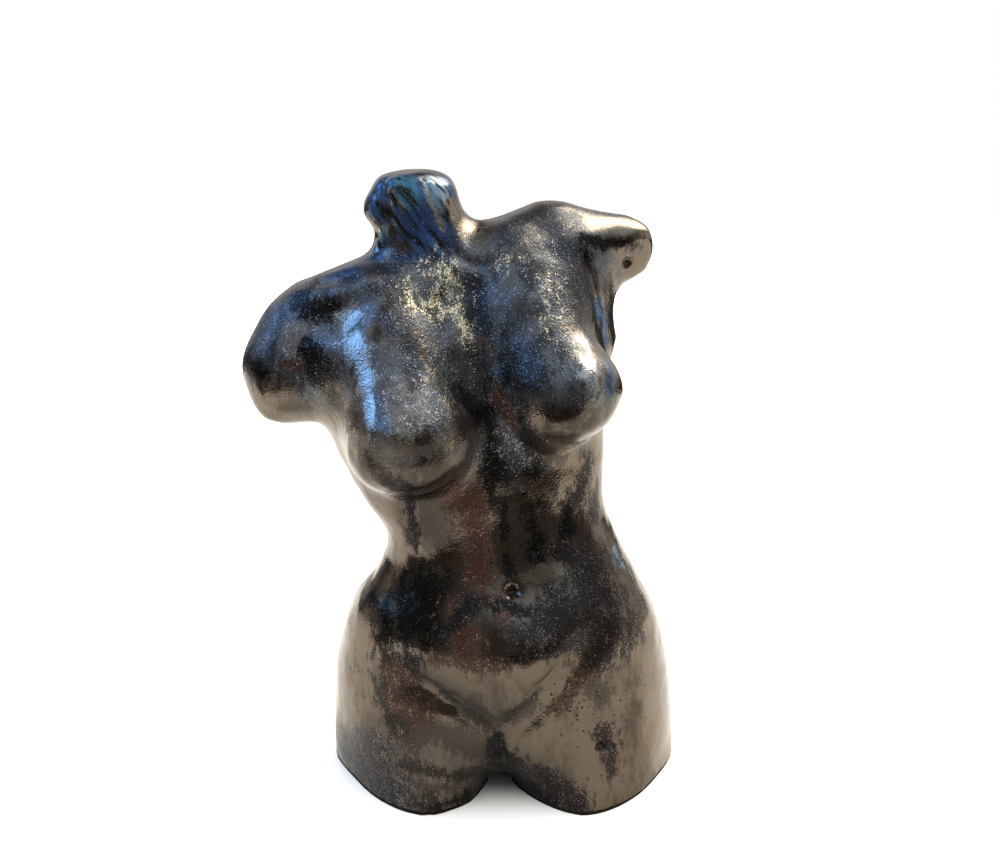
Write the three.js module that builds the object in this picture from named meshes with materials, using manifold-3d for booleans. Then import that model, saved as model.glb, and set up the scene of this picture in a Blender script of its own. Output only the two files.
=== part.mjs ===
// Female torso sculpture: one solid of fired clay, without head or arms, standing on its cut thighs.
// Millimetres, +Z up. The figure faces -Y and +X is to the viewer's right.
// The figure is described upright and symmetrical, as a field that is negative inside the clay.
// A pose then leans and turns the chest, and the neck and the arm stumps follow it.

import * as THREE from "three";
import { mergeVertices } from "three/addons/utils/BufferGeometryUtils.js";
import Module from "manifold-3d";

const { clamp, degToRad, lerp, smoothstep } = THREE.MathUtils;

// Driving dimensions
const CELL = 7.7; // spacing of the grid that the surface is drawn on
const GRID_LOW = [-165, -110, -30];
const GRID_HIGH = [135, 110, 390];
const SPARE = 16; // clay left below the base until it is cut flat
const BASE_SHIFT = 1; // hips stand this far to the viewer's right
const LEAN = degToRad(14.2); // chest leans to the viewer's left
const LEAN_FROM = 116; // height where the lean begins
const LEAN_TO = 196; // height above which it is complete
const TURN = degToRad(15); // chest turns to the viewer's right
const TURN_FROM = 100;
const TURN_TO = 215;

// Trunk sections of the upright figure: height, half width, y of the widest line, front, back, squareness
const TRUNK = [
  { z: 0, half: 97, mid: 30, front: 6, back: 54, power: 2.2 },
  { z: 14, half: 100, mid: 28, front: 31, back: 58, power: 2.2 },
  { z: 30, half: 101, mid: 26, front: 43, back: 61, power: 2.3 },
  { z: 52, half: 100, mid: 22, front: 48, back: 64, power: 2.4 },
  { z: 80, half: 96, mid: 15, front: 53, back: 62, power: 2.6 },
  { z: 108, half: 88, mid: 8, front: 54, back: 50, power: 2.6 },
  { z: 139, half: 71, mid: 2, front: 47, back: 38, power: 2.4 },
  { z: 165, half: 63, mid: 0, front: 43, back: 35, power: 2.2 },
  { z: 198, half: 71, mid: 0, front: 46, back: 38, power: 2.2 },
  { z: 232, half: 78, mid: 2, front: 47, back: 44, power: 2.2 },
  { z: 262, half: 79, mid: 4, front: 42, back: 47, power: 2.2 },
  { z: 290, half: 68, mid: 6, front: 32, back: 42, power: 2.2 },
  { z: 306, half: 46, mid: 8, front: 20, back: 32, power: 2.2 },
  { z: 316, half: 24, mid: 10, front: 8, back: 24, power: 2.2 },
];

// One thigh: as the trunk, out from the middle, and with height it comes inward, tapers and gets squarer
const THIGH = { middle: 2, out: 46, half: 51, mid: 16, front: 54, back: 60, power: 1.6, merge: 18 };
const THIGH_TOP = 60;
const THIGH_INWARD = 0.1;
const THIGH_TAPER = 0.0028;
const THIGH_SQUARER = 0.016;

// Forms on both sides of the middle; a point is [outwards, y, z] and merge is the width of the blend
const BUTTOCK = { centre: [44, 34, 62], radii: [44, 42, 46], merge: 12 };
const CHEST = { centre: [49, -4, 286], radii: [37, 32, 34], merge: 22 };
const BREAST_SLOPE = { from: [41, -10, 306], to: [41, -49, 244], start: 17, end: 26, merge: 20 };
const BREAST_BOWL = { centre: [44, -42, 234], radii: [33, 34, 25], merge: 15 };
const NIPPLE = { from: [46, -54, 247], to: [53, -76, 249], start: 14, end: 4, merge: 10 };
const SHOULDER_YOKE = { from: [0, 16, 304], to: [64, 12, 303], start: 22, end: 22, merge: 16 };
const COLLAR_BONE = { from: [10, -16, 309], to: [62, -4, 313], start: 8, end: 9, merge: 12 };
const SHOULDER_BLADE = { centre: [40, 30, 266], radii: [28, 18, 38], merge: 18 };

// Forms on the middle
const BELLY = { centre: [0, -18, 99], radii: [60, 40, 40], merge: 20 };
const PUBIS = { centre: [0, -36, 54], radii: [20, 21, 28], merge: 18 };
const SPINE = { from: [0, 62, 150], to: [0, 66, 290], start: 12, end: 10, merge: 26 };
const CLEFT = { from: [0, 96, 20], to: [0, 86, 92], start: 12, end: 5, merge: 18 };
const THIGH_GROOVE = { from: [-2, -62, 54], to: [-2, -36, 4], start: 6, end: 9, merge: 10 };
const THIGH_GAP = { from: [-2, -36, 4], to: [-2, 2, 0], start: 9, end: 7, merge: 8 };
const BELLY_LINE = { from: [0, -57, 150], to: [0, -59, 216], start: 6, end: 6, merge: 18 };
const NAVEL = { centre: [4, -56, 137], radii: [7, 8, 8], merge: 6 };
const THROAT = { centre: [0, -36, 322], radii: [9, 9, 9], merge: 14 };

// Forms on one side only
const LEFT_HOLLOW = { centre: [-62, -30, 312], radii: [18, 10, 9], merge: 12 };
const LEFT_SHOULDER = { from: [-79, 10, 297], to: [-91, 10, 282], start: 22, end: 21, merge: 14 };
const RIGHT_SIDE = { from: [70, 8, 292], to: [76, 8, 248], start: 25, end: 17, merge: 18 };
const LEFT_GROIN = { from: [-58, -50, 88], to: [-4, -60, 52], start: 4, end: 7, merge: 12 };
const RIGHT_GROIN = { from: [54, -54, 112], to: [4, -60, 52], start: 4, end: 7, merge: 12 };
const NECK_KNOB = { centre: [-20, 2, 352], radii: [8, 12, 9], merge: 6 };

// Stumps: a limb that is cut off by a plane through a point, facing a direction, with rounded edges
const NECK = {
  limb: { from: [0, 12, 296], to: [3, 4, 372], start: 26, end: 23 },
  at: [3, 4, 367],
  facing: [0.2, 0, 1],
  round: 13,
  merge: 16,
};
const LEFT_ARM = {
  limb: { from: [-91, 10, 282], to: [-96, 8, 266], start: 21, end: 17 },
  at: [-98, -8, 266],
  facing: [-0.1, -0.75, -0.65],
  round: 9,
  merge: 14,
};
const RIGHT_ARM = {
  limb: { from: [74, 6, 299], to: [108, 4, 291], start: 27, end: 20 },
  at: [104, -7, 285],
  facing: [0.12, -0.9, -0.42],
  round: 5,
  merge: 14,
};

const BREAST = [CHEST, BREAST_SLOPE, BREAST_BOWL, NIPPLE];
const SHOULDER = [SHOULDER_YOKE, COLLAR_BONE, SHOULDER_BLADE];
const BOTH_RAISED = [BUTTOCK, ...BREAST, ...SHOULDER];
const MIDDLE_RAISED = [BELLY, PUBIS];
const MIDDLE_CARVED = [SPINE, CLEFT, THIGH_GROOVE, THIGH_GAP, BELLY_LINE, NAVEL, THROAT];
const SIDE_RAISED = [LEFT_SHOULDER, RIGHT_SIDE, NECK_KNOB];
const SIDE_CARVED = [LEFT_HOLLOW, LEFT_GROIN, RIGHT_GROIN];

// Smooth union and cut of two fields: k is the width of the blend
const blend = (a, b, k) => {
  const h = Math.max(k - Math.abs(a - b), 0) / k;
  return Math.min(a, b) - (h * h * k) / 4;
};
const carve = (a, b, k) => -blend(-a, b, k);

// Distance to an ellipsoid, close enough near its surface
function ball(p, { centre, radii }) {
  const d = [p.x - centre[0], p.y - centre[1], p.z - centre[2]];
  const k0 = Math.hypot(...d.map((v, i) => v / radii[i]));
  const k1 = Math.hypot(...d.map((v, i) => v / radii[i] ** 2));
  return k1 > 0 ? (k0 * (k0 - 1)) / k1 : -Math.min(...radii);
}

// Distance to a limb: a line whose radius changes evenly from its start to its end
function limb(p, { from, to, start, end }) {
  const line = new THREE.Vector3(...to).sub(new THREE.Vector3(...from));
  const v = new THREE.Vector3(p.x - from[0], p.y - from[1], p.z - from[2]);
  const t = clamp(v.dot(line) / line.lengthSq(), 0, 1);
  return v.addScaledVector(line, -t).length() - lerp(start, end, t);
}

const form = (p, shape) => (shape.radii ? ball(p, shape) : limb(p, shape));
const raise = (p, f, shape) => blend(f, form(p, shape), shape.merge);
const hollow = (p, f, shape) => carve(f, form(p, shape), shape.merge);

// Distance to the side of an upright column with a rounded section
function column(x, y, { half, mid, front, back, power }) {
  const depth = y < mid ? front + mid : back - mid;
  const r = (Math.abs(x / half) ** power + Math.abs((y - mid) / depth) ** power) ** (1 / power);
  return (r - 1) * Math.min(half, depth);
}

// A column's own distance, or the distance past its end
const capped = (side, past) => (past > 0 ? Math.hypot(Math.max(side, 0), past) : side);

// Section of the trunk at a height: a smooth curve through the stations
function section(z) {
  const last = TRUNK.length - 1;
  const above = TRUNK.findIndex((station) => station.z > z);
  const i = above < 0 ? last - 1 : above - 1;
  const [before, from, to, after] = [i - 1, i, i + 1, i + 2].map((n) => TRUNK[clamp(n, 0, last)]);
  const span = to.z - from.z;
  const t = (z - from.z) / span;
  const value = (key) => {
    const slopeFrom = ((to[key] - before[key]) / (to.z - before.z)) * span;
    const slopeTo = ((after[key] - from[key]) / (after.z - from.z)) * span;
    const start = (1 + 2 * t) * (1 - t) ** 2 * from[key] + t * (1 - t) ** 2 * slopeFrom;
    const end = t * t * (3 - 2 * t) * to[key] + t * t * (t - 1) * slopeTo;
    return start + end;
  };
  return Object.fromEntries(["half", "mid", "front", "back", "power"].map((key) => [key, value(key)]));
}

function trunk(q) {
  const z = clamp(q.z, TRUNK[0].z, TRUNK[TRUNK.length - 1].z);
  return capped(column(q.x, q.y, section(z)), Math.max(q.z - z, 0));
}

function thigh(q) {
  const z = clamp(q.z, 0, THIGH_TOP);
  const size = 1 - THIGH_TAPER * z;
  const x = (Math.abs(q.x - THIGH.middle) - THIGH.out + THIGH_INWARD * z) / size;
  const y = THIGH.mid + (q.y - THIGH.mid) / size;
  const side = column(x, y, { ...THIGH, power: THIGH.power + THIGH_SQUARER * z }) * size;
  return capped(side, Math.max(q.z - z, 0));
}

// The upright figure; m is the same point on the side where x is counted outwards
function figure(q) {
  const m = { x: Math.abs(q.x), y: q.y, z: q.z };
  let f = blend(trunk(q), thigh(q), THIGH.merge);
  for (const shape of BOTH_RAISED) f = raise(m, f, shape);
  for (const shape of MIDDLE_RAISED) f = raise(q, f, shape);
  for (const shape of MIDDLE_CARVED) f = hollow(q, f, shape);
  return f;
}

// A limb cut off by a plane
function stump(q, { limb: shape, at, facing, round }) {
  const face = new THREE.Vector3(...facing).normalize();
  const past = face.dot(new THREE.Vector3(q.x - at[0], q.y - at[1], q.z - at[2]));
  return carve(limb(q, shape), -past, round);
}

// From a point of the posed figure to the upright one
function upright(p) {
  const radius = (LEAN_TO - LEAN_FROM) / LEAN;
  let x = p.x - BASE_SHIFT;
  let z = p.z;
  if (z > LEAN_FROM) {
    const dx = x + radius;
    const dz = z - LEAN_FROM;
    const angle = Math.atan2(dz, dx);
    if (angle < LEAN) {
      x = Math.hypot(dx, dz) - radius;
      z = LEAN_FROM + angle * radius;
    } else {
      x = dx * Math.cos(LEAN) + dz * Math.sin(LEAN) - radius;
      z = LEAN_TO + dz * Math.cos(LEAN) - dx * Math.sin(LEAN);
    }
  }
  const turn = TURN * smoothstep(z, TURN_FROM, TURN_TO);
  return {
    x: x * Math.cos(turn) + p.y * Math.sin(turn),
    y: p.y * Math.cos(turn) - x * Math.sin(turn),
    z,
  };
}

// The posed torso with its stumps, closed below the base
function torso(p) {
  const q = upright(p);
  let f = figure(q);
  for (const part of [NECK, LEFT_ARM, RIGHT_ARM]) f = blend(f, stump(q, part), part.merge);
  for (const shape of SIDE_RAISED) f = raise(q, f, shape);
  for (const shape of SIDE_CARVED) f = hollow(q, f, shape);
  return Math.max(f, -SPARE - p.z);
}

// Moves a point on to the zero surface of a field, by at most half a cell each way
function settle(field, start) {
  const step = 0.05;
  const passes = 4;
  const least = 0.05;
  const p = start.clone();
  for (let pass = 0; pass < passes; pass++) {
    const f = field(p);
    const slope = new THREE.Vector3();
    for (const axis of ["x", "y", "z"]) {
      const ahead = p.clone();
      ahead[axis] += step;
      slope[axis] = (field(ahead) - f) / step;
    }
    p.addScaledVector(slope, -f / Math.max(slope.lengthSq(), least));
  }
  const reach = new THREE.Vector3().setScalar(CELL / 2);
  return p.clamp(start.clone().sub(reach), start.clone().add(reach));
}

// The zero surface of a field: one vertex in each cell of the grid that it crosses
function surface(field) {
  const count = GRID_LOW.map((low, axis) => Math.ceil((GRID_HIGH[axis] - low) / CELL) + 1);
  const key = (c) => c[0] + count[0] * (c[1] + count[1] * c[2]);
  const place = (c) => new THREE.Vector3(...c.map((n, axis) => GRID_LOW[axis] + n * CELL));
  const shifted = (c, by, times = 1) => c.map((n, axis) => n + by[axis] * times);
  const steps = [[1, 0, 0], [0, 1, 0], [0, 0, 1]];
  const corners = [0, 1, 2, 3, 4, 5, 6, 7].map((n) => [n & 1, (n >> 1) & 1, n >> 2]);

  const grid = [];
  for (let k = 0; k < count[2]; k++)
    for (let j = 0; j < count[1]; j++)
      for (let i = 0; i < count[0]; i++) grid.push([i, j, k]);
  const value = grid.map((c) => field(place(c)));
  const inside = (c) => value[key(c)] < 0;

  const positions = [];
  const vertexOf = new Map();
  for (const c of grid) {
    if (c.some((n, axis) => n + 1 >= count[axis])) continue;
    const crossings = [];
    for (const corner of corners)
      for (const step of steps) {
        const a = shifted(c, corner);
        const b = shifted(a, step);
        if (b.some((n, axis) => n > c[axis] + 1) || inside(a) === inside(b)) continue;
        const t = value[key(a)] / (value[key(a)] - value[key(b)]);
        crossings.push(place(a).lerp(place(b), t));
      }
    if (!crossings.length) continue;
    const middle = new THREE.Vector3();
    for (const crossing of crossings) middle.addScaledVector(crossing, 1 / crossings.length);
    vertexOf.set(key(c), positions.length / 3);
    positions.push(...settle(field, middle));
  }

  const index = [];
  for (const c of grid)
    steps.forEach((step, axis) => {
      const next = shifted(c, step);
      if (c.includes(0) || next[axis] >= count[axis] || inside(c) === inside(next)) return;
      const u = steps[(axis + 1) % 3];
      const w = steps[(axis + 2) % 3];
      const around = [[1, 1], [0, 1], [0, 0], [1, 0]];
      const quad = around.map(([s, t]) => vertexOf.get(key(shifted(shifted(c, u, -s), w, -t))));
      if (!inside(c)) quad.reverse();
      index.push(quad[0], quad[1], quad[2], quad[0], quad[2], quad[3]);
    });

  const geometry = new THREE.BufferGeometry();
  geometry.setAttribute("position", new THREE.Float32BufferAttribute(positions, 3));
  geometry.setIndex(index);
  return geometry;
}

// Closed mesh as a solid, and back
const wasm = await Module();
wasm.setup();

function solidOf(geometry) {
  const bare = geometry.clone();
  bare.deleteAttribute("normal");
  bare.deleteAttribute("uv");
  const merged = mergeVertices(bare);
  const mesh = new wasm.Mesh({
    numProp: 3,
    vertProperties: merged.attributes.position.array,
    triVerts: new Uint32Array(merged.index.array),
  });
  return new wasm.Manifold(mesh);
}

function geometryOf(solid) {
  const mesh = solid.getMesh();
  const geometry = new THREE.BufferGeometry();
  geometry.setAttribute("position", new THREE.BufferAttribute(mesh.vertProperties, 3));
  geometry.setIndex(new THREE.BufferAttribute(mesh.triVerts, 1));
  return geometry;
}

// The base is cut flat at z = 0
const BELOW = 600;
const below = new THREE.BoxGeometry(BELOW, BELOW, BELOW).translate(0, 0, -BELOW / 2);
const standing = geometryOf(solidOf(surface(torso)).subtract(solidOf(below)));

// The origin is the middle of the bottom of the figure's box
standing.computeBoundingBox();
const middle = standing.boundingBox.getCenter(new THREE.Vector3());
standing.translate(-middle.x, -middle.y, 0);
standing.computeVertexNormals();

const glaze = new THREE.MeshStandardMaterial({ color: 0x3a3532, roughness: 0.25, metalness: 0.6 });
const torsoMesh = new THREE.Mesh(standing, glaze);
torsoMesh.name = "torso";

const sculpture = new THREE.Group();
sculpture.add(torsoMesh);

export default sculpture;
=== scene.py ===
# Female torso in fired clay under a dark metallic lustre glaze.
# Metres, +Z up, the figure faces -Y. Marks in the clay, patches of glaze and patches of painted shade and
# painted highlight are placed by pixels of a
# 1000 x 862 picture of its front, and rays from the camera carry them on to the surface.

import math
import random

import bmesh
import bpy
import numpy as np
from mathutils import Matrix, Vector, noise
from mathutils.bvhtree import BVHTree


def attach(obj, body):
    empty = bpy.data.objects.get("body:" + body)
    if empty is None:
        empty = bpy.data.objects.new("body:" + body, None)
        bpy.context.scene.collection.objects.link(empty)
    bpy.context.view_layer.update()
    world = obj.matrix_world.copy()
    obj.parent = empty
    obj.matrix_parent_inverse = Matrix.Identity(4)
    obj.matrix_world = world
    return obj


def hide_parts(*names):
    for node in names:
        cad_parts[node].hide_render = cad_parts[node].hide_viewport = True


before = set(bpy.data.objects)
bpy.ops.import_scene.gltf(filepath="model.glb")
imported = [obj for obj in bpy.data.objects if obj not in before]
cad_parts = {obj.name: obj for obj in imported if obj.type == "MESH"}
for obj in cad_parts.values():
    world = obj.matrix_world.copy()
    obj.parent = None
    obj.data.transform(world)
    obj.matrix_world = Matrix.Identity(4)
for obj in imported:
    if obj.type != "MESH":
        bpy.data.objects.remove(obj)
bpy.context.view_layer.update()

MM = 0.001

# Camera: the picture's frame, its focal length in pixels and where it looks from
IMAGE_WIDTH = 1000
IMAGE_HEIGHT = 862
FOCAL_PIXELS = 1700
SENSOR_WIDTH = 36
VIEW_TARGET = Vector((0.0183, 0.0073, 0.215))
VIEW_DISTANCE = 0.96
VIEW_ELEVATION = math.radians(18)
VIEW_BACK = Vector((0, -math.cos(VIEW_ELEVATION), math.sin(VIEW_ELEVATION)))
VIEW_UP = Vector((0, math.sin(VIEW_ELEVATION), math.cos(VIEW_ELEVATION)))
VIEW_FROM = VIEW_TARGET + VIEW_BACK * VIEW_DISTANCE
PIXEL = VIEW_DISTANCE / FOCAL_PIXELS  # size of a pixel at the figure
PATH_STEP = 3  # pixels between the points of a path

# Surface of the clay
WELD = 0.01 * MM  # vertices closer than this become one
FLAT = 0.05 * MM  # a vertex lower than this lies on the base
JOIN_ANGLE = math.radians(60)  # triangles within it may join into a four-sided face
ROUNDING = 2  # rounds of subdivision
SWELLS = ((26 * MM, 0.6 * MM), (11 * MM, 0.25 * MM), (6 * MM, 0.12 * MM))  # wavelength and height
FOOT_RIM = 3 * MM  # height over which marks fade out towards the base
FOOT_INSET = 0.8 * MM  # how far the rim of the base is drawn in

# Ridges and grooves: pixels that the stroke runs through, half width and height in millimetres
STROKES = {
    "first neck tendon": ([(390, 182), (398, 205), (416, 230), (436, 254)], 3, 1.3),
    "second neck tendon": ([(416, 196), (432, 224), (448, 250)], 3, 1.3),
    "third neck tendon": ([(440, 198), (450, 222), (462, 248)], 3, 1.2),
    "groove beside the knob": ([(383, 180), (385, 204), (390, 226)], 3, -1.4),
    "groove between the tendons": ([(406, 196), (424, 226), (442, 254)], 2.6, -1.0),
    "fold in front of the knob": ([(384, 224), (382, 240), (376, 252)], 3, 1.6),
    "crevice beside the neck": ([(450, 248), (464, 260), (478, 266)], 2.8, -2.0),
    "right collar bone": ([(478, 258), (520, 246), (562, 240)], 6, 0.8),
    "left shoulder hollow": ([(320, 281), (352, 276)], 6, -2.4),
    "right armpit crease": ([(586, 258), (594, 280), (600, 318)], 3, -2),
    "left breast edge": ([(356, 428), (376, 434), (400, 436), (430, 432)], 9, 1.2),
    "right breast edge": ([(545, 391), (570, 394), (592, 395)], 8, 1.0),
    "line above the navel": ([(502, 500), (506, 535), (509, 570)], 5, -1.0),
    "swelling below the left groin": ([(425, 700), (455, 716), (484, 734)], 8, 1.2),
    "crease between the thighs": ([(497, 735), (497, 752)], 4, -1.5),
}

# Round marks: pixel, radius and height in millimetres
DOTS = {
    "bump in front of the shoulder": ((339, 297), 4, 1.2),
    "dimple on the breast bone": ((440, 300), 3.2, -2),
    "right nipple": ((594, 397), 5, 1.6),
    "navel": ((512, 591), 3.2, -4.5),
    "hollow beside the navel": ((540, 594), 12, -1.8),
    "front of the left hip": ((372, 598), 14, 1.6),
    "outer side of the left breast": ((366, 402), 14, 2.4),
    "hollow above the left breast": ((350, 340), 12, -1.6),
    "hole in the right stump": ((627, 262), 2.5, -3),
}

# Craters on the right thigh: where they lie in the picture, how many, their radii and their depth
CRATER_MIDDLE = (609, 752)
CRATER_SPREAD = (20, 32)
CRATER_COUNT = 22
CRATER_SEED = 7
CRATER_RADII = (1.6 * MM, 2.8 * MM)
CRATER_DEPTH = 0.7 * MM

# Glazes over the lustre: colour, roughness, how metallic, how many painted glints, and the patches,
# each with pixels that it runs through and its half width in pixels. Several are painted shade, painted
# highlight and painted reflection rather than glaze, as marked below.
# The first two colours: a dimmer lustre, for random wear and for painted shade, and a near black, for
# painted shade and for the dark mottle, bands and streaks of the glaze
SMOKE_AND_SHADE = (0.075, 0.064, 0.053)
SHADE_AND_DARK_GLAZE = (0.013, 0.012, 0.011)
LUSTRE = (0.155, 0.128, 0.102)
LUSTRE_ROUGH = 0.13
LUSTRE_METAL = 0.95
LUSTRE_GLINTS = 0.12
GLAZES = {
    "slate": ((0.078, 0.084, 0.092), 0.28, 0.7, 0.55, [
        ([(290, 330), (350, 300), (440, 300), (520, 280), (575, 250)], 60),
        ([(390, 365), (416, 394)], 40),
        ([(530, 340), (560, 375)], 40),
        ([(480, 380), (500, 450)], 36),
    ]),
    # dark blue-grey patches of painted shade that dim the lamp's reflections on the upper chest, the
    # shoulders and the left breast
    "dark_blue_shade": ((0.02, 0.024, 0.032), 0.3, 0.7, 0.5, [
        ([(506, 240), (540, 228), (566, 244), (580, 285), (580, 322)], 24),
        ([(512, 226), (545, 213), (578, 217)], 15),
        ([(472, 285), (480, 330)], 11),
        ([(388, 290), (392, 330)], 10),
        ([(408, 334), (424, 372)], 14),
        ([(352, 274), (385, 270)], 11),
        ([(432, 384), (440, 406)], 11),
        ([(374, 286), (396, 300)], 9),
        ([(398, 257), (448, 254)], 8),
    ]),
    "pewter": ((0.085, 0.079, 0.071), 0.36, 0.45, 0.75, [
        ([(402, 394), (410, 426)], 15),
        ([(294, 340), (310, 354)], 13),
    ]),
    # lighter, duller patches of painted reflection: the pale underside of the left breast and the right
    # flank, lit as if they reflected the table
    "painted_reflection": ((0.06, 0.05, 0.042), 0.28, 0.3, 0.3, [
        ([(364, 446), (380, 462)], 10),
        ([(384, 446), (408, 456), (440, 450)], 13),
        ([(596, 520), (604, 548)], 7),
    ]),
    # a dimmer lustre, also used for random wear; its patches are mostly painted shade, under the breasts,
    # on the crotch and along the bottom of the thighs
    "smoke_and_shade": (SMOKE_AND_SHADE, 0.13, 0.95, 0.1, [
        ([(430, 490), (436, 520), (440, 545)], 24),
        ([(428, 470), (452, 462), (466, 450)], 12),
        ([(412, 722), (450, 736), (482, 746)], 20),
        ([(338, 430), (350, 455), (364, 472)], 9),
        ([(578, 448), (592, 458)], 10),
        ([(540, 448), (562, 460)], 10),
        ([(555, 418), (592, 428)], 14),
        ([(470, 708), (498, 722), (530, 706)], 12),
        ([(415, 785), (450, 788)], 10),
        ([(580, 680), (600, 694)], 12),
    ]),
    # near-black patches of painted shade: in the navel, the line down the belly, the crotch, the armpit,
    # between and under the breasts, under the belly and along the bottom of the thighs, and over
    # reflections on the belly and the left hip
    "painted_shade": (SHADE_AND_DARK_GLAZE, 0.2, 0.85, 0.4, [
        ([(406, 486), (412, 515), (414, 545)], 6),
        ([(370, 576), (376, 604)], 9),
        ([(404, 584), (402, 630)], 16),
        ([(387, 612), (386, 668)], 17),
        ([(430, 590), (436, 630)], 26),
        ([(500, 505), (505, 545), (508, 575)], 8),
        ([(590, 464), (582, 485), (572, 505)], 15),
        ([(572, 505), (562, 540)], 9),
        ([(528, 512), (540, 548)], 15),
        ([(472, 395), (485, 440), (492, 468)], 20),
        ([(522, 425), (530, 448), (530, 470)], 11),
        ([(488, 480), (496, 508)], 7),
        ([(404, 640), (408, 670)], 12),
        ([(312, 352), (320, 376)], 11),
        ([(484, 596), (499, 609)], 8),
        ([(496, 602), (516, 612), (534, 614)], 8),
        ([(497, 738), (497, 765)], 9),
        ([(395, 802), (440, 806), (478, 794)], 8),
        ([(512, 760), (530, 790), (580, 806)], 14),
        ([(584, 256), (588, 280), (596, 318), (604, 345)], 7),
        ([(582, 236), (605, 244), (638, 240)], 7),
        ([(300, 300), (330, 310)], 12),
        ([(248, 365), (262, 374)], 8),
        ([(512, 592)], 5),
        ([(500, 662), (545, 652), (580, 640)], 7),
    ]),
    # dark patches of painted shade in the groin creases, between and under the breasts and along the bottom
    # of the thighs; on the back the same dark glaze lies in random patches
    "dark_glaze_and_crease_shade": ((0.04, 0.035, 0.03), 0.18, 0.9, 0.4, [
        ([(444, 692), (470, 712), (492, 728), (510, 716), (540, 690)], 5),
        ([(466, 352), (476, 390)], 13),
        ([(462, 440), (466, 462)], 10),
        ([(515, 372), (538, 374)], 17),
        ([(400, 764), (450, 776), (482, 772)], 9),
        ([(396, 800), (430, 796)], 10),
        ([(335, 398), (350, 428), (364, 462), (392, 486)], 9),
        ([(384, 672), (386, 700), (394, 728)], 15),
    ]),
    "umber": ((0.055, 0.024, 0.013), 0.24, 0.5, 0.5, [
        ([(466, 492), (474, 530), (486, 584)], 17),
        ([(454, 612), (464, 658)], 17),
        ([(500, 395), (512, 425)], 10),
        ([(505, 618)], 7),
        ([(284, 363), (298, 366)], 5),
    ]),
    "russet": ((0.055, 0.031, 0.02), 0.24, 0.75, 0.7, [
        ([(436, 660), (470, 666), (502, 664)], 9),
        ([(394, 672), (404, 692), (424, 708)], 16),
        ([(598, 664), (576, 686), (554, 708)], 9),
    ]),
    "violet": ((0.024, 0.02, 0.019), 0.3, 0.8, 0.6, [
        ([(590, 585), (625, 610), (600, 640)], 30),
        ([(604, 735), (612, 768)], 13),
        ([(597, 482), (594, 512)], 9),
        ([(562, 606), (530, 638)], 20),
        ([(555, 548), (578, 566)], 10),
        ([(472, 602), (440, 636)], 9),
        ([(540, 775), (570, 800)], 14),
    ]),
    # a dark, flecked glaze; its first patch, along the bottom of the left thigh, is painted shade
    "ash_and_shade": ((0.045, 0.042, 0.042), 0.32, 0.75, 1.0, [
        ([(342, 745), (385, 752), (372, 778), (400, 795)], 24),
        ([(504, 442), (520, 462)], 10),
        ([(512, 630), (538, 638)], 9),
    ]),
    # blue glaze on the neck; its patches beside the right armpit, on the side of the right breast and at
    # the right hip are painted blue sheen
    "blue_glaze_and_sheen": ((0.03, 0.08, 0.17), 0.2, 0.65, 0.3, [
        ([(370, 192), (374, 210)], 10),
        ([(386, 186), (420, 186), (446, 186)], 22),
        ([(396, 215), (436, 246)], 20),
        ([(384, 240), (376, 256)], 9),
        ([(335, 272), (358, 267)], 6),
        ([(598, 300), (606, 342)], 6),
        ([(604, 352), (612, 375), (610, 386)], 6),
        ([(619, 558)], 8),
    ]),
    "navy": ((0.018, 0.05, 0.145), 0.2, 0.6, 0.4, [
        ([(406, 212), (424, 232), (440, 246)], 12),
    ]),
    "teal": ((0.03, 0.115, 0.17), 0.2, 0.6, 0.3, [
        ([(402, 180), (408, 200)], 9),
    ]),
    # bright, mirror-like patches of painted highlight along the highlight strips of both breasts and the
    # lines of the neck
    "painted_highlight": ((0.42, 0.42, 0.41), 0.2, 0.95, 0.6, [
        ([(350, 320), (358, 350)], 11),
        ([(358, 350), (367, 384)], 8),
        ([(367, 384), (374, 428)], 5),
        ([(584, 340), (592, 370), (588, 386)], 9),
        ([(418, 170), (422, 180), (434, 206), (442, 228)], 2.5),
        ([(391, 190), (403, 208)], 2.5),
        ([(382, 230), (394, 222)], 3),
    ]),
    # pale blue patches of painted sheen on the top of the neck, in front of its knob and at the right hip
    "painted_blue_sheen": ((0.18, 0.27, 0.34), 0.24, 0.7, 0.2, [
        ([(437, 182), (442, 198)], 9),
        ([(616, 550), (623, 566)], 5),
        ([(388, 226), (381, 240), (377, 252)], 4),
    ]),
    # warm patches of painted highlight on the right of the neck, beside the navel and on top of the right
    # stump
    "painted_warm_highlight": ((0.24, 0.21, 0.16), 0.2, 0.95, 0.2, [
        ([(452, 206), (460, 222), (472, 232)], 8),
        ([(526, 578), (542, 573), (558, 570)], 6),
        ([(590, 222), (640, 232)], 9),
    ]),
}

# Gold flakes, how thickly they lie and where, and the rougher, hammered glaze of the chest
GOLD = (0.66, 0.57, 0.36)
FLAKES = {
    "dense flakes": (0.2, [
        ([(409, 284), (412, 304)], 9),
        ([(440, 270), (452, 288), (434, 308)], 17),
        ([(456, 306), (468, 338)], 9),
    ]),
    "sparse flakes": (0.115, [
        ([(500, 264), (526, 258)], 16),
        ([(550, 276), (546, 302), (550, 330)], 16),
    ]),
}
HAMMERED = [
    ([(320, 320), (390, 340), (412, 375), (420, 395)], 50),
    ([(440, 290), (530, 300), (560, 340)], 55),
    ([(270, 330), (330, 345)], 40),
    ([(500, 380), (500, 450)], 40),
]
PITTED = [
    ([(348, 630), (352, 700)], 18),
    ([(570, 700), (610, 720), (640, 690), (630, 760)], 32),
    ([(470, 520), (480, 590), (460, 640)], 16),
    ([(350, 750), (380, 780)], 30),
]
# Colours of the painted glints: small pale specks of painted highlight, bluer on the hammered glaze
PAINTED_GLINT = (0.3, 0.26, 0.23)
COLD_PAINTED_GLINT = (0.36, 0.41, 0.5)

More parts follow.
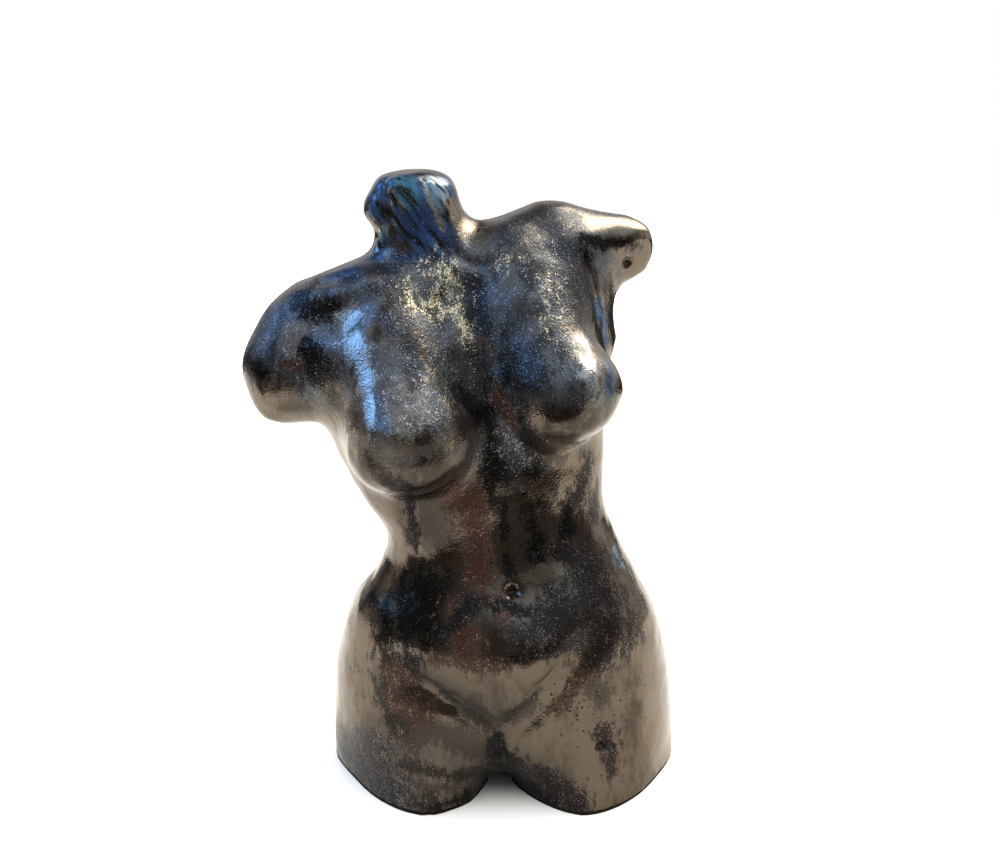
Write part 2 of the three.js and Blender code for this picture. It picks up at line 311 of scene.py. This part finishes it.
# Glazes on the back: how much of it each takes, the size of the patches and how soon they begin
BACK_COVER = {"slate": 0.4, "dark_glaze_and_crease_shade": 0.35, "umber": 0.25, "violet": 0.3}
BACK_PATCH = 45 * MM
BACK_FADE = 3

# Noises in the glaze: size and detail
BROAD = (20 * MM, 4)
GRAIN = (3.5 * MM, 3)
FINE = (1.2 * MM, 2)
MOTTLE = (1.3 * MM, 5)
BANDS = (12 * MM, 3)
STREAKS = (3 * MM, 3)
SPARKLE = (0.9 * MM, 5)
GLINT_SPECKS = (0.7 * MM, 2)
PIT_SPACING = 3 * MM

# How the noises are drawn out: along x, y and z, and for the streaks on the neck a turn and a length
RUN_STRETCH = (1, 1, 0.45)
BAND_STRETCH = (1, 1, 0.3)
STREAK_TURN = math.radians(-38)
STREAK_LENGTH = 6

# Where each mark begins to show and where it shows in full
PATCH_EDGE = (0.28, 0.72)
PATCH_LIMIT = (0.05, 0.3)
WORN_EDGE = (0.68, 0.98)
HAMMERED_EDGE = (0.4, 1.0)
MOTTLE_EDGE = (0.46, 0.68)
BAND_EDGE = (0.46, 0.64)
STREAK_EDGE = (0.46, 0.62)
FLAKE_EDGE = (0.63, 0.75)
GLINT_EDGE = (0.86, 0.98)
PIT_EDGE = (0.3, 0.12)
PIT_CHANCE = (0.5, 0.55)
BARE_EDGE = (3.6 * MM, 2.8 * MM)

# How much each noise adds to a mark, and how dark the mottle and the bands are
FRAY_GRAIN = 1.4
FRAY_FINE = 1.0
FRAY_BROAD = 1.6
WORN_GRAIN = 0.5
HAMMERED_BROAD = 0.6
SPARKLE_SHARE = 0.6
GLINT_GRAIN = 0.35
GLINT_COVER = 0.13
BARE_RAGGED = 2 * MM
MOTTLE_DARK = 0.7
BAND_DARK = 0.75

# Bumps: strength on the smooth and on the hammered glaze, and depth
GRAIN_BUMP = (0.24, 0.5)
GRAIN_DEPTH = 0.6 * MM
FINE_BUMP = (0.28, 0.9)
FINE_DEPTH = 0.4 * MM
PIT_BUMP = 0.6
PIT_DEPTH = 0.6 * MM

PIT_COLOR = (0.03, 0.026, 0.023)
BARE_CLAY = (0.03, 0.022, 0.018)
BARE_ROUGH = 0.8

# Sockets of a mix node: its factor, the two numbers or the two colours, and what comes out
MIX_FACTOR = 0
MIX_NUMBERS = (2, 3)
MIX_COLORS = (6, 7)
MIXED_NUMBER = 0
MIXED_COLOR = 2

# Studio: a pale floor, cards on it that only reflections see, a soft light above, and the room's glow
FLOOR_SIZE = 3.6
FLOOR_COLOR = (0.82, 0.77, 0.69)
TABLE_FRONT = -0.27
TABLE_LEFT = -0.16
TABLE_RIGHT = 0.28
TABLE_COLOR = (0.4, 0.36, 0.31)
DARK_COLOR = (0.02, 0.016, 0.013)
PALE_COLOR = (0.54, 0.5, 0.43)
LEFT_EDGE = -0.4
LEFT_BACK = -0.1
BACK_EDGE = 0.7
CARD_LIFT = 0.5 * MM
CARD_ROUGH = 0.9
SOFTBOX_SIZE = 4
SOFTBOX_HEIGHT = 2
SOFTBOX_GLOW = 3.4
ROOM_COLOR = (0.09, 0.08, 0.075)
WHITE = (1.0, 1.0, 1.0)

# Glows of the room: azimuth and elevation of the middle, radius in degrees, and colour
GLOWS = {
    "window": (-105, 44, 30, (0.5, 1.2, 2.5)),
    "window beside": (-69, 33, 20, (0.6, 1.4, 2.8)),
    "bright pane": (-90, 28, 13, (0.6, 1.4, 2.6)),
    "sky": (40, 62, 62, (0.6, 0.72, 0.85)),
    "warm lamp": (132, 44, 31, (9.0, 8.1, 6.7)),
    "warm ceiling": (106, 57, 22, (1.5, 1.3, 1.05)),
    "wall by the flank": (102, 3, 22, (0.9, 0.82, 0.74)),
    "right wall": (150, 5, 40, (0.7, 0.65, 0.6)),
    "low left wall": (-104, 2, 16, (0.42, 0.38, 0.32)),
    "left wall": (-155, 10, 30, (0.6, 0.6, 0.6)),
}


def pixel_ray(pixel):
    """The direction in which the camera sees a pixel."""
    right = (pixel[0] - IMAGE_WIDTH / 2) / FOCAL_PIXELS
    up = (IMAGE_HEIGHT / 2 - pixel[1]) / FOCAL_PIXELS
    return (Vector((1, 0, 0)) * right + VIEW_UP * up - VIEW_BACK).normalized()


def make_camera():
    data = bpy.data.cameras.new("camera")
    data.sensor_width = SENSOR_WIDTH
    data.lens = FOCAL_PIXELS / IMAGE_WIDTH * SENSOR_WIDTH
    camera = bpy.data.objects.new("camera", data)
    camera.location = VIEW_FROM
    camera.rotation_euler = (math.pi / 2 - VIEW_ELEVATION, 0, 0)
    bpy.context.scene.collection.objects.link(camera)
    bpy.context.scene.camera = camera


def keep_rim_sharp(work):
    """Creases the edges around the base."""
    crease = work.edges.layers.float.new("crease_edge")
    for edge in work.edges:
        on_base = all(v.co.z < FLAT for v in edge.verts)
        rim = any(any(v.co.z > FLAT for v in face.verts) for face in edge.link_faces)
        edge[crease] = 1.0 if on_base and rim else 0.0


def rounded_copy(node, name):
    """A copy of a solid with its facets rounded off and its base left flat."""
    work = bmesh.new()
    work.from_mesh(node.data)
    bmesh.ops.remove_doubles(work, verts=work.verts, dist=WELD)
    bmesh.ops.join_triangles(
        work, faces=work.faces, angle_face_threshold=JOIN_ANGLE, angle_shape_threshold=JOIN_ANGLE
    )
    keep_rim_sharp(work)
    mesh = bpy.data.meshes.new(name)
    work.to_mesh(mesh)
    work.free()
    piece = bpy.data.objects.new(name, mesh)
    bpy.context.scene.collection.objects.link(piece)
    rounding = piece.modifiers.new("rounding", "SUBSURF")
    rounding.levels = ROUNDING
    rounding.render_levels = ROUNDING
    graph = bpy.context.evaluated_depsgraph_get()
    piece.data = bpy.data.meshes.new_from_object(piece.evaluated_get(graph))
    piece.data.name = name
    piece.modifiers.clear()
    piece.data.materials.clear()
    return piece


def points_of(mesh):
    points = np.empty(len(mesh.vertices) * 3)
    mesh.vertices.foreach_get("co", points)
    return points.reshape(-1, 3)


def normals_of(mesh):
    normals = np.empty(len(mesh.vertices) * 3)
    mesh.vertex_normals.foreach_get("vector", normals)
    return normals.reshape(-1, 3)


def filled(pixels):
    """Pixels close together along the lines between some pixels."""
    path = [pixels[0]]
    for start, end in zip(pixels, pixels[1:]):
        count = math.ceil(math.dist(start, end) / PATH_STEP)
        for n in range(1, count + 1):
            path.append(tuple(a + (b - a) * n / count for a, b in zip(start, end)))
    return path


def distance_to(points, tree, pixels):
    """Distance from each point to the line on the surface that the camera sees along some pixels."""
    nearest = np.full(len(points), np.inf)
    for pixel in filled(pixels):
        hit = tree.ray_cast(VIEW_FROM, pixel_ray(pixel))[0]
        if hit is not None:
            nearest = np.minimum(nearest, np.linalg.norm(points - np.array(hit), axis=1))
    return nearest


def swells(points):
    """Uneven hand-modelled surface, as a height at each point."""
    height = np.zeros(len(points))
    for wavelength, size in SWELLS:
        height += size * np.array([noise.noise(Vector(p) / wavelength) for p in points])
    return height


def craters(points, tree):
    """Small round pits scattered over a part of the thigh."""
    scatter = random.Random(CRATER_SEED)
    height = np.zeros(len(points))
    for _ in range(CRATER_COUNT):
        pixel = [scatter.gauss(m, s / 2) for m, s in zip(CRATER_MIDDLE, CRATER_SPREAD)]
        away = distance_to(points, tree, [pixel]) / scatter.uniform(*CRATER_RADII)
        height -= CRATER_DEPTH * np.exp(-away**2)
    return height


def marks(points, tree):
    """Height of the ridges, grooves and round marks at each point."""
    height = craters(points, tree)
    for pixels, width, size in STROKES.values():
        away = distance_to(points, tree, pixels) / (width * MM)
        height += size * MM * np.exp(-away**2)
    for pixel, width, size in DOTS.values():
        away = distance_to(points, tree, [pixel]) / (width * MM)
        height += size * MM * np.exp(-away**2)
    return height


def shape(piece, tree):
    """Moves each vertex along its normal, keeps the base flat and draws its rim in a little."""
    points = points_of(piece.data)
    normals = normals_of(piece.data)
    free = np.clip(points[:, 2] / FOOT_RIM, 0, 1)
    height = swells(points) + marks(points, tree)
    points += normals * (height * free)[:, None]
    points -= normals * (1, 1, 0) * (FOOT_INSET * (1 - free))[:, None]
    piece.data.vertices.foreach_set("co", points.ravel())
    piece.data.update()


def back_patches(piece, name):
    """Cover of a glaze on the side that the camera does not see: random patches in its own places."""
    away = np.clip(-BACK_FADE * normals_of(piece.data) @ np.array(VIEW_BACK), 0, 1)
    shift = Vector((list(BACK_COVER).index(name) + 1, 0, 0))
    patchy = np.array([noise.noise(Vector(p) / BACK_PATCH + shift) for p in points_of(piece.data)])
    return away * (BACK_COVER[name] + patchy)


def spread_glaze(piece, tree, name, patches):
    """Writes how far each vertex is inside some patches, from 0 outside to 1 on their middle lines."""
    points = points_of(piece.data)
    cover = np.zeros(len(points))
    for pixels, width in patches:
        cover = np.maximum(cover, 1 - distance_to(points, tree, pixels) / (2 * width * PIXEL))
    if name in BACK_COVER:
        cover = np.maximum(cover, back_patches(piece, name))
    layer = piece.data.attributes.new(name, "FLOAT", "POINT")
    layer.data.foreach_set("value", np.clip(cover, 0, 1).astype(np.float32))


class Nodes:
    """Short ways to add nodes to a shader."""

    def __init__(self, tree, place):
        self.tree = tree
        self.place = tree.nodes.new("ShaderNodeTexCoord").outputs[place]

    def put(self, socket, value):
        if isinstance(value, bpy.types.NodeSocket):
            self.tree.links.new(value, socket)
        elif isinstance(value, tuple) and len(socket.default_value) == 4:
            socket.default_value = (*value, 1)
        else:
            socket.default_value = value

    def add(self, kind, **settings):
        node = self.tree.nodes.new(kind)
        for name, value in settings.items():
            setattr(node, name, value)
        return node

    def stretched(self, amounts):
        """Places scaled along x, y and z."""
        node = self.add("ShaderNodeVectorMath", operation="MULTIPLY")
        self.put(node.inputs[0], self.place)
        node.inputs[1].default_value = amounts
        return node.outputs[0]

    def slanted(self, turn, length):
        """Places turned in the plane of the picture and drawn out along the turned z."""
        node = self.add("ShaderNodeMapping", vector_type="TEXTURE")
        self.put(node.inputs["Vector"], self.place)
        node.inputs["Rotation"].default_value = (0, turn, 0)
        node.inputs["Scale"].default_value = (1, 1, length)
        return node.outputs["Vector"]

    def noise(self, kind, place=None):
        size, detail = kind
        node = self.add("ShaderNodeTexNoise")
        self.put(node.inputs["Vector"], place or self.place)
        node.inputs["Scale"].default_value = 1 / size
        node.inputs["Detail"].default_value = detail
        return node.outputs["Fac"]

    def cells(self, size):
        """Distance from the middle of random cells, and a colour for each cell."""
        node = self.add("ShaderNodeTexVoronoi")
        self.put(node.inputs["Vector"], self.place)
        node.inputs["Scale"].default_value = 1 / size
        return node.outputs["Distance"], node.outputs["Color"]

    def attribute(self, name):
        return self.add("ShaderNodeAttribute", attribute_name=name).outputs["Fac"]

    def math(self, kind, a, b):
        node = self.add("ShaderNodeMath", operation=kind)
        self.put(node.inputs[0], a)
        self.put(node.inputs[1], b)
        return node.outputs[0]

    def plus(self, a, b):
        return self.math("ADD", a, b)

    def times(self, a, b):
        return self.math("MULTIPLY", a, b)

    def step(self, value, low, high):
        """From 0 to 1 as a value goes from low to high, smoothly."""
        node = self.add("ShaderNodeMapRange", interpolation_type="SMOOTHSTEP")
        self.put(node.inputs["Value"], value)
        node.inputs["From Min"].default_value = low
        node.inputs["From Max"].default_value = high
        return node.outputs["Result"]

    def mix(self, amount, a, b, kind="MIX"):
        """A mix of two colours."""
        node = self.add("ShaderNodeMix", data_type="RGBA", blend_type=kind)
        self.put(node.inputs[MIX_FACTOR], amount)
        self.put(node.inputs[MIX_COLORS[0]], a)
        self.put(node.inputs[MIX_COLORS[1]], b)
        return node.outputs[MIXED_COLOR]

    def blend(self, amount, a, b):
        """A mix of two numbers."""
        node = self.add("ShaderNodeMix", data_type="FLOAT")
        self.put(node.inputs[MIX_FACTOR], amount)
        self.put(node.inputs[MIX_NUMBERS[0]], a)
        self.put(node.inputs[MIX_NUMBERS[1]], b)
        return node.outputs[MIXED_NUMBER]

    def bump(self, height, strength, depth, normal=None):
        node = self.add("ShaderNodeBump")
        node.inputs["Distance"].default_value = depth
        self.put(node.inputs["Strength"], strength)
        self.put(node.inputs["Height"], height)
        if normal is not None:
            self.put(node.inputs["Normal"], normal)
        return node.outputs["Normal"]


class Glaze(Nodes):
    """The glaze's shader, layer by layer."""

    def __init__(self, tree):
        super().__init__(tree, "Object")
        self.runs = self.stretched(RUN_STRETCH)
        self.broad = self.noise(BROAD, self.runs)
        self.grain = self.noise(GRAIN, self.runs)
        self.fine = self.noise(FINE)
        self.fray = self.frayed_edge()
        hammered = self.plus(self.attribute("hammered"), self.times(self.broad, HAMMERED_BROAD))
        self.hammered = self.step(hammered, *HAMMERED_EDGE)

    def frayed_edge(self):
        """An uneven number, about 0 on average, that frays the edges of patches."""
        total = self.plus(self.times(self.grain, FRAY_GRAIN), self.times(self.fine, FRAY_FINE))
        total = self.plus(total, self.times(self.broad, FRAY_BROAD))
        return self.math("SUBTRACT", total, (FRAY_GRAIN + FRAY_FINE + FRAY_BROAD) / 2)

    def patch(self, name):
        """Where a glaze shows: its patch with a ragged edge."""
        inside = self.attribute(name)
        ragged = self.step(self.plus(inside, self.fray), *PATCH_EDGE)
        return self.times(ragged, self.step(inside, *PATCH_LIMIT))

    def layers(self):
        """Colour, roughness, metal and amount of painted glints of the lustre, with the other glazes and
        the patches of painted shade, highlight and reflection over it.
        """
        worn = self.step(self.plus(self.broad, self.times(self.grain, WORN_GRAIN)), *WORN_EDGE)
        color = self.mix(worn, LUSTRE, SMOKE_AND_SHADE)
        rough = LUSTRE_ROUGH
        metal = LUSTRE_METAL
        glints = LUSTRE_GLINTS
        for name, (glaze_color, glaze_rough, glaze_metal, glaze_glints, _) in GLAZES.items():
            cover = self.patch(name)
            color = self.mix(cover, color, glaze_color)
            rough = self.blend(cover, rough, glaze_rough)
            metal = self.blend(cover, metal, glaze_metal)
            glints = self.blend(cover, glints, glaze_glints)
        return color, rough, metal, glints

    def darkened(self, color, glints):
        """Adds the dark mottle among the painted glints, bands down the chest and streaks on the neck."""
        mottle = self.step(self.noise(MOTTLE, self.runs), *MOTTLE_EDGE)
        color = self.mix(self.times(mottle, self.times(glints, MOTTLE_DARK)), color, SHADE_AND_DARK_GLAZE)
        bands = self.step(self.noise(BANDS, self.stretched(BAND_STRETCH)), *BAND_EDGE)
        color = self.mix(self.times(bands, self.times(self.hammered, BAND_DARK)), color, SHADE_AND_DARK_GLAZE)
        streaks = self.step(self.noise(STREAKS, self.slanted(STREAK_TURN, STREAK_LENGTH)), *STREAK_EDGE)
        return self.mix(self.times(self.patch("blue_glaze_and_sheen"), streaks), color, SHADE_AND_DARK_GLAZE)

    def gilded(self, color):
        """Adds the gold flakes."""
        sparkle = self.times(self.noise(SPARKLE), SPARKLE_SHARE)
        sparkle = self.plus(sparkle, self.times(self.grain, 1 - SPARKLE_SHARE))
        for name, (thickness, _) in FLAKES.items():
            inside = self.attribute(name)
            flakes = self.step(self.plus(sparkle, self.times(inside, thickness)), *FLAKE_EDGE)
            color = self.mix(self.times(flakes, self.step(inside, *PATCH_LIMIT)), color, GOLD)
        return color

    def painted_glints(self, color, glints):
        """Adds painted glints: pale specks of painted highlight, colder on the hammered glaze."""
        glint_specks = self.plus(self.noise(GLINT_SPECKS), self.times(self.grain, GLINT_GRAIN))
        glint_specks = self.step(self.plus(glint_specks, self.times(glints, GLINT_COVER)), *GLINT_EDGE)
        return self.mix(glint_specks, color, self.mix(self.hammered, PAINTED_GLINT, COLD_PAINTED_GLINT))

    def pits(self):
        hole, chance = self.cells(PIT_SPACING)
        some = self.times(self.step(hole, *PIT_EDGE), self.step(chance, *PIT_CHANCE))
        return self.times(some, self.patch("pitted"))

    def bare_foot(self):
        """The unglazed rim at the bottom."""
        height = self.add("ShaderNodeSeparateXYZ")
        self.put(height.inputs[0], self.place)
        ragged = self.plus(height.outputs["Z"], self.times(self.grain, BARE_RAGGED))
        return self.step(ragged, *BARE_EDGE)

    def peel(self, pits):
        """The normal, with the unevenness of the glaze and its pits."""
        normal = self.bump(self.grain, self.blend(self.hammered, *GRAIN_BUMP), GRAIN_DEPTH)
        normal = self.bump(self.fine, self.blend(self.hammered, *FINE_BUMP), FINE_DEPTH, normal)
        return self.bump(self.math("SUBTRACT", 1.0, pits), PIT_BUMP, PIT_DEPTH, normal)


def lustre_glaze():
    material = bpy.data.materials.new("lustre_glaze")
    material.use_nodes = True
    shader = material.node_tree.nodes["Principled BSDF"]
    glaze = Glaze(material.node_tree)
    color, rough, metal, glints = glaze.layers()
    color = glaze.darkened(color, glints)
    color = glaze.gilded(color)
    color = glaze.painted_glints(color, glints)
    pits = glaze.pits()
    color = glaze.mix(pits, color, PIT_COLOR)
    foot = glaze.bare_foot()
    glaze.put(shader.inputs["Base Color"], glaze.mix(foot, color, BARE_CLAY))
    glaze.put(shader.inputs["Roughness"], glaze.blend(foot, rough, BARE_ROUGH))
    glaze.put(shader.inputs["Metallic"], metal)
    glaze.put(shader.inputs["Normal"], glaze.peel(pits))
    return material


def plain(name, color):
    material = bpy.data.materials.new(name)
    material.use_nodes = True
    shader = material.node_tree.nodes["Principled BSDF"]
    shader.inputs["Base Color"].default_value = (*color, 1)
    shader.inputs["Roughness"].default_value = CARD_ROUGH
    shader.inputs["Specular IOR Level"].default_value = 0
    return material


def sheet(name, low, high, lift, color):
    """A flat rectangle between two corners."""
    mesh = bpy.data.meshes.new(name)
    corners = [(low[0], low[1]), (high[0], low[1]), (high[0], high[1]), (low[0], high[1])]
    mesh.from_pydata([(x, y, lift) for x, y in corners], [], [(0, 1, 2, 3)])
    mesh.materials.append(plain(name, color))
    piece = bpy.data.objects.new(name, mesh)
    bpy.context.scene.collection.objects.link(piece)
    return piece


def make_floor():
    """The floor, and dimmer cards over it for reflections: a pale one, the table and the dark beyond it."""
    half = FLOOR_SIZE / 2
    sheet("floor", (-half, -half), (half, half), 0, FLOOR_COLOR)
    cards = [
        sheet("pale_card", (-half, -half), (half, half), CARD_LIFT, PALE_COLOR),
        sheet("table_card", (TABLE_LEFT, TABLE_FRONT), (TABLE_RIGHT, 0), 2 * CARD_LIFT, TABLE_COLOR),
        sheet("front_card", (-half, -2 * half), (half, TABLE_FRONT), 2 * CARD_LIFT, DARK_COLOR),
        sheet("left_card", (-half, TABLE_FRONT), (LEFT_EDGE, LEFT_BACK), 2 * CARD_LIFT, DARK_COLOR),
        sheet("back_card", (-half, BACK_EDGE), (half, half), 2 * CARD_LIFT, DARK_COLOR),
    ]
    for card in cards:
        card.visible_camera = False
        card.visible_diffuse = False
        card.visible_shadow = False


def direction(azimuth, elevation):
    turn = math.radians(azimuth)
    lift = math.radians(elevation)
    return Vector((math.sin(turn) * math.cos(lift), -math.cos(turn) * math.cos(lift), math.sin(lift)))


def make_softbox():
    data = bpy.data.lights.new("softbox", "AREA")
    data.size = SOFTBOX_SIZE
    data.energy = SOFTBOX_GLOW * math.pi * SOFTBOX_SIZE**2
    light = bpy.data.objects.new("softbox", data)
    light.location = VIEW_TARGET + Vector((0, 0, SOFTBOX_HEIGHT))
    light.visible_glossy = False
    light.visible_camera = False
    bpy.context.scene.collection.objects.link(light)


def make_world():
    """White behind everything, and for reflections a dim room with soft glows."""
    world = bpy.data.worlds.new("studio")
    world.use_nodes = True
    bpy.context.scene.world = world
    world.node_tree.nodes.clear()
    n = Nodes(world.node_tree, "Generated")
    room = ROOM_COLOR
    for azimuth, elevation, radius, glow in GLOWS.values():
        towards = n.add("ShaderNodeVectorMath", operation="DOT_PRODUCT")
        n.put(towards.inputs[0], n.place)
        towards.inputs[1].default_value = direction(azimuth, elevation)
        near = n.step(towards.outputs["Value"], math.cos(math.radians(radius)), 1)
        room = n.mix(near, room, glow, "ADD")
    shown = n.mix(n.add("ShaderNodeLightPath").outputs["Is Camera Ray"], room, WHITE)
    light = n.add("ShaderNodeBackground")
    n.put(light.inputs["Color"], shown)
    n.tree.links.new(light.outputs[0], n.add("ShaderNodeOutputWorld").inputs["Surface"])


def make_torso():
    """The rounded and glazed figure in the place of the solid one."""
    torso = rounded_copy(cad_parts["torso"], "glazed_torso")
    tree = BVHTree.FromObject(torso, bpy.context.evaluated_depsgraph_get())
    for glaze, (*_, patches) in GLAZES.items():
        spread_glaze(torso, tree, glaze, patches)
    for flakes, (_, patches) in FLAKES.items():
        spread_glaze(torso, tree, flakes, patches)
    spread_glaze(torso, tree, "hammered", HAMMERED)
    spread_glaze(torso, tree, "pitted", PITTED)
    shape(torso, tree)
    for polygon in torso.data.polygons:
        polygon.use_smooth = True
    torso.data.materials.append(lustre_glaze())
    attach(torso, "root")
    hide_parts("torso")


make_camera()
make_world()
make_floor()
make_softbox()
bpy.context.scene.view_settings.view_transform = "Standard"
make_torso()
